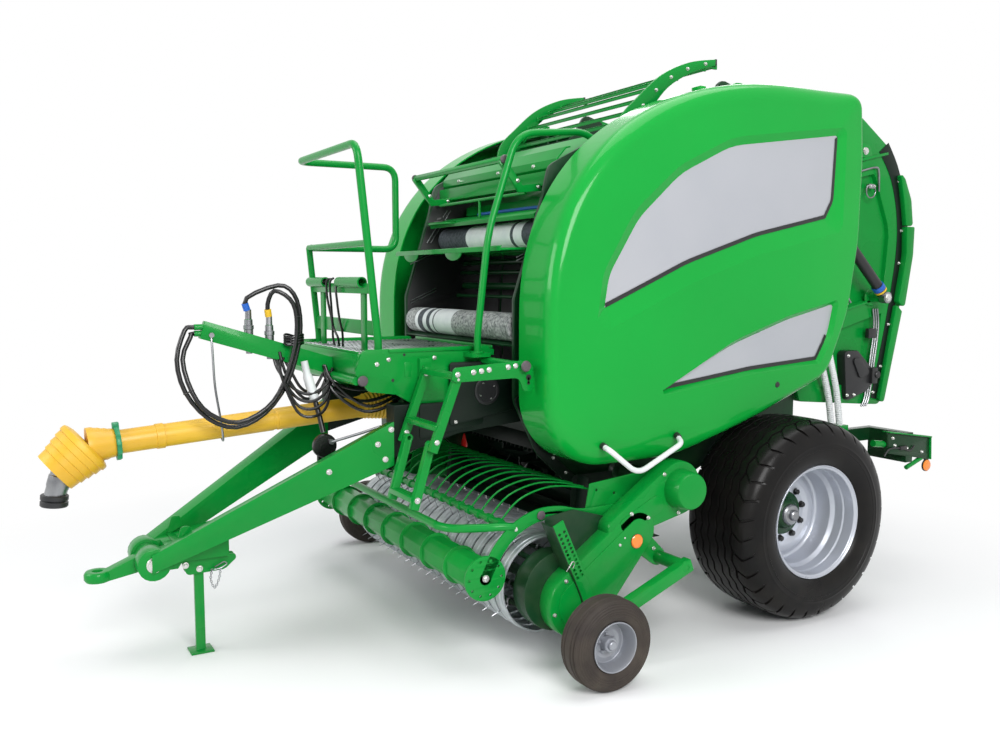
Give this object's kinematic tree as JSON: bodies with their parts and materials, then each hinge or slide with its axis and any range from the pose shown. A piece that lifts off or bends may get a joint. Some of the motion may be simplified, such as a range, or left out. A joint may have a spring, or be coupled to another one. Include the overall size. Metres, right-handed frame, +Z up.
{
  "type": "round baler",
  "caption": "Towed round baler: tined pick-up with gauge wheels, belt chamber under hinged side shells, lifting tailgate with two rams, drawbar with stand.",
  "frame": {"origin": "on the floor under the middle of the machine's bounding box", "axes": "+Z up, +Y to the tailgate at the rear, -Y along the drawbar, +X to the machine's left"},
  "size_m": [2.9284, 4.9327, 2.99],
  "materials": {
    "green_paint": "gloss",
    "dark_green_paint": "gloss",
    "bare_steel": "satin",
    "wheel_silver": "satin",
    "tyre_rubber": "matte",
    "hose_rubber": "satin",
    "belt_rubber": "matte",
    "yellow_plastic": "satin",
    "net_wrap": "matte"
  },
  "bodies": {
    "chassis": {"axle": "green_paint", "chamber_side_left": "green_paint", "chamber_side_right": "green_paint", "drawbar_eye": "green_paint", "drawbar_left": "green_paint", "drawbar_right": "green_paint", "feed_floor": "dark_green_paint", "front_belts": "belt_rubber", "front_frame": "green_paint", "front_rail": "green_paint", "gearbox": "green_paint", "handrail": "green_paint", "hose_1": "hose_rubber", "hose_2": "hose_rubber", "hose_arm": "green_paint", "ladder_upper": "green_paint", "net_guard": "green_paint", "net_roll_lower": "net_wrap", "net_roll_upper": "net_wrap", "net_tray_lower": "dark_green_paint", "net_tray_upper": "green_paint", "platform": "green_paint", "pto_shaft": "yellow_plastic", "stand_bracket": "green_paint", "starter_roller": "bare_steel", "top_guard": "green_paint"},
    "feed_rotor": {"feed_rotor": "dark_green_paint"},
    "pickup": {"pickup_side_left": "green_paint", "pickup_side_right": "green_paint", "pickup_bands": "bare_steel", "gauge_arm_left": "green_paint", "gauge_arm_right": "green_paint"},
    "reel": {"pickup_reel": "bare_steel"},
    "wind_guard": {"wind_guard": "green_paint"},
    "tailgate": {"tailgate_side_left": "green_paint", "tailgate_side_right": "green_paint", "tailgate_cross_1": "green_paint", "tailgate_cross_2": "green_paint", "tailgate_cross_3": "green_paint", "tailgate_cross_4": "green_paint", "tailgate_belts": "belt_rubber"},
    "stand": {"stand_leg": "green_paint"},
    "ladder": {"ladder_lower": "green_paint"},
    "wheel_left": {"tyre_left": "tyre_rubber", "rim_left": "wheel_silver"},
    "gauge_wheel_left": {"gauge_tyre_left": "tyre_rubber", "gauge_rim_left": "wheel_silver"},
    "side_shell_left": {"side_shell_left": "green_paint"},
    "ram_barrel_left": {"ram_barrel_left": "green_paint"},
    "ram_rod_left": {"ram_rod_left": "bare_steel"},
    "wheel_right": {"tyre_right": "tyre_rubber", "rim_right": "wheel_silver"},
    "gauge_wheel_right": {"gauge_tyre_right": "tyre_rubber", "gauge_rim_right": "wheel_silver"},
    "side_shell_right": {"side_shell_right": "green_paint"},
    "ram_barrel_right": {"ram_barrel_right": "green_paint"},
    "ram_rod_right": {"ram_rod_right": "bare_steel"}
  },
  "joints": [
    {"name": "wheel_left_spin", "type": "hinge", "parent": "chassis", "child": "wheel_left", "pos_m": [1.03, 1.123, 0.533], "axis": [-1, 0, 0], "continuous": true},
    {"name": "gauge_wheel_left_spin", "type": "hinge", "parent": "pickup", "child": "gauge_wheel_left", "pos_m": [1.385, -0.332, 0.208], "axis": [-1, 0, 0], "continuous": true},
    {"name": "side_shell_left_open", "type": "hinge", "parent": "chassis", "child": "side_shell_left", "pos_m": [0.735, 0.773, 2.765], "axis": [0, -1, 0], "range_deg": [0, 50]},
    {"name": "ram_left_swing", "type": "hinge", "parent": "chassis", "child": "ram_barrel_left", "pos_m": [0.8, 1.283, 2.5], "axis": [1, 0, 0], "range_deg": [0, 70]},
    {"name": "ram_left_stroke", "type": "slide", "parent": "ram_barrel_left", "child": "ram_rod_left", "axis": [0, 0.728, -0.6856], "range_m": [0, 0.24]},
    {"name": "wheel_right_spin", "type": "hinge", "parent": "chassis", "child": "wheel_right", "pos_m": [-1.03, 1.123, 0.533], "axis": [-1, 0, 0], "continuous": true},
    {"name": "gauge_wheel_right_spin", "type": "hinge", "parent": "pickup", "child": "gauge_wheel_right", "pos_m": [-1.385, -0.332, 0.208], "axis": [-1, 0, 0], "continuous": true},
    {"name": "side_shell_right_open", "type": "hinge", "parent": "chassis", "child": "side_shell_right", "pos_m": [-0.735, 0.773, 2.765], "axis": [0, 1, 0], "range_deg": [0, 50]},
    {"name": "ram_right_swing", "type": "hinge", "parent": "chassis", "child": "ram_barrel_right", "pos_m": [-0.8, 1.283, 2.5], "axis": [1, 0, 0], "range_deg": [0, 70]},
    {"name": "ram_right_stroke", "type": "slide", "parent": "ram_barrel_right", "child": "ram_rod_right", "axis": [0, 0.728, -0.6856], "range_m": [0, 0.24]},
    {"name": "feed_rotor_spin", "type": "hinge", "parent": "chassis", "child": "feed_rotor", "pos_m": [0, 0.293, 0.78], "axis": [-1, 0, 0], "continuous": true},
    {"name": "pickup_lift", "type": "hinge", "parent": "chassis", "child": "pickup", "pos_m": [0, 0.293, 0.78], "axis": [-1, 0, 0], "range_deg": [0, 8]},
    {"name": "reel_spin", "type": "hinge", "parent": "pickup", "child": "reel", "pos_m": [0, -0.357, 0.345], "axis": [-1, 0, 0], "continuous": true},
    {"name": "wind_guard_lift", "type": "hinge", "parent": "pickup", "child": "wind_guard", "pos_m": [0, -0.007, 0.69], "axis": [-1, 0, 0], "range_deg": [0, 5]},
    {"name": "tailgate_open", "type": "hinge", "parent": "chassis", "child": "tailgate", "pos_m": [0, 0.983, 2.8], "axis": [1, 0, 0], "range_deg": [0, 55]},
    {"name": "stand_fold", "type": "hinge", "parent": "chassis", "child": "stand", "pos_m": [0.058, -1.792, 0.415], "axis": [1, 0, 0], "range_deg": [0, 100]},
    {"name": "ladder_fold", "type": "hinge", "parent": "chassis", "child": "ladder", "pos_m": [0.7, -0.922, 1.055], "axis": [-1, 0, 0], "range_deg": [0, 140]}
  ],
  "couplings": [
    {"joint": "ram_left_swing", "follows": "tailgate_open", "ratio": 1.2544},
    {"joint": "ram_left_stroke", "follows": "tailgate_open", "m_per_rad": 0.24293},
    {"joint": "ram_right_swing", "follows": "tailgate_open", "ratio": 1.2544},
    {"joint": "ram_right_stroke", "follows": "tailgate_open", "m_per_rad": 0.24293}
  ]
}
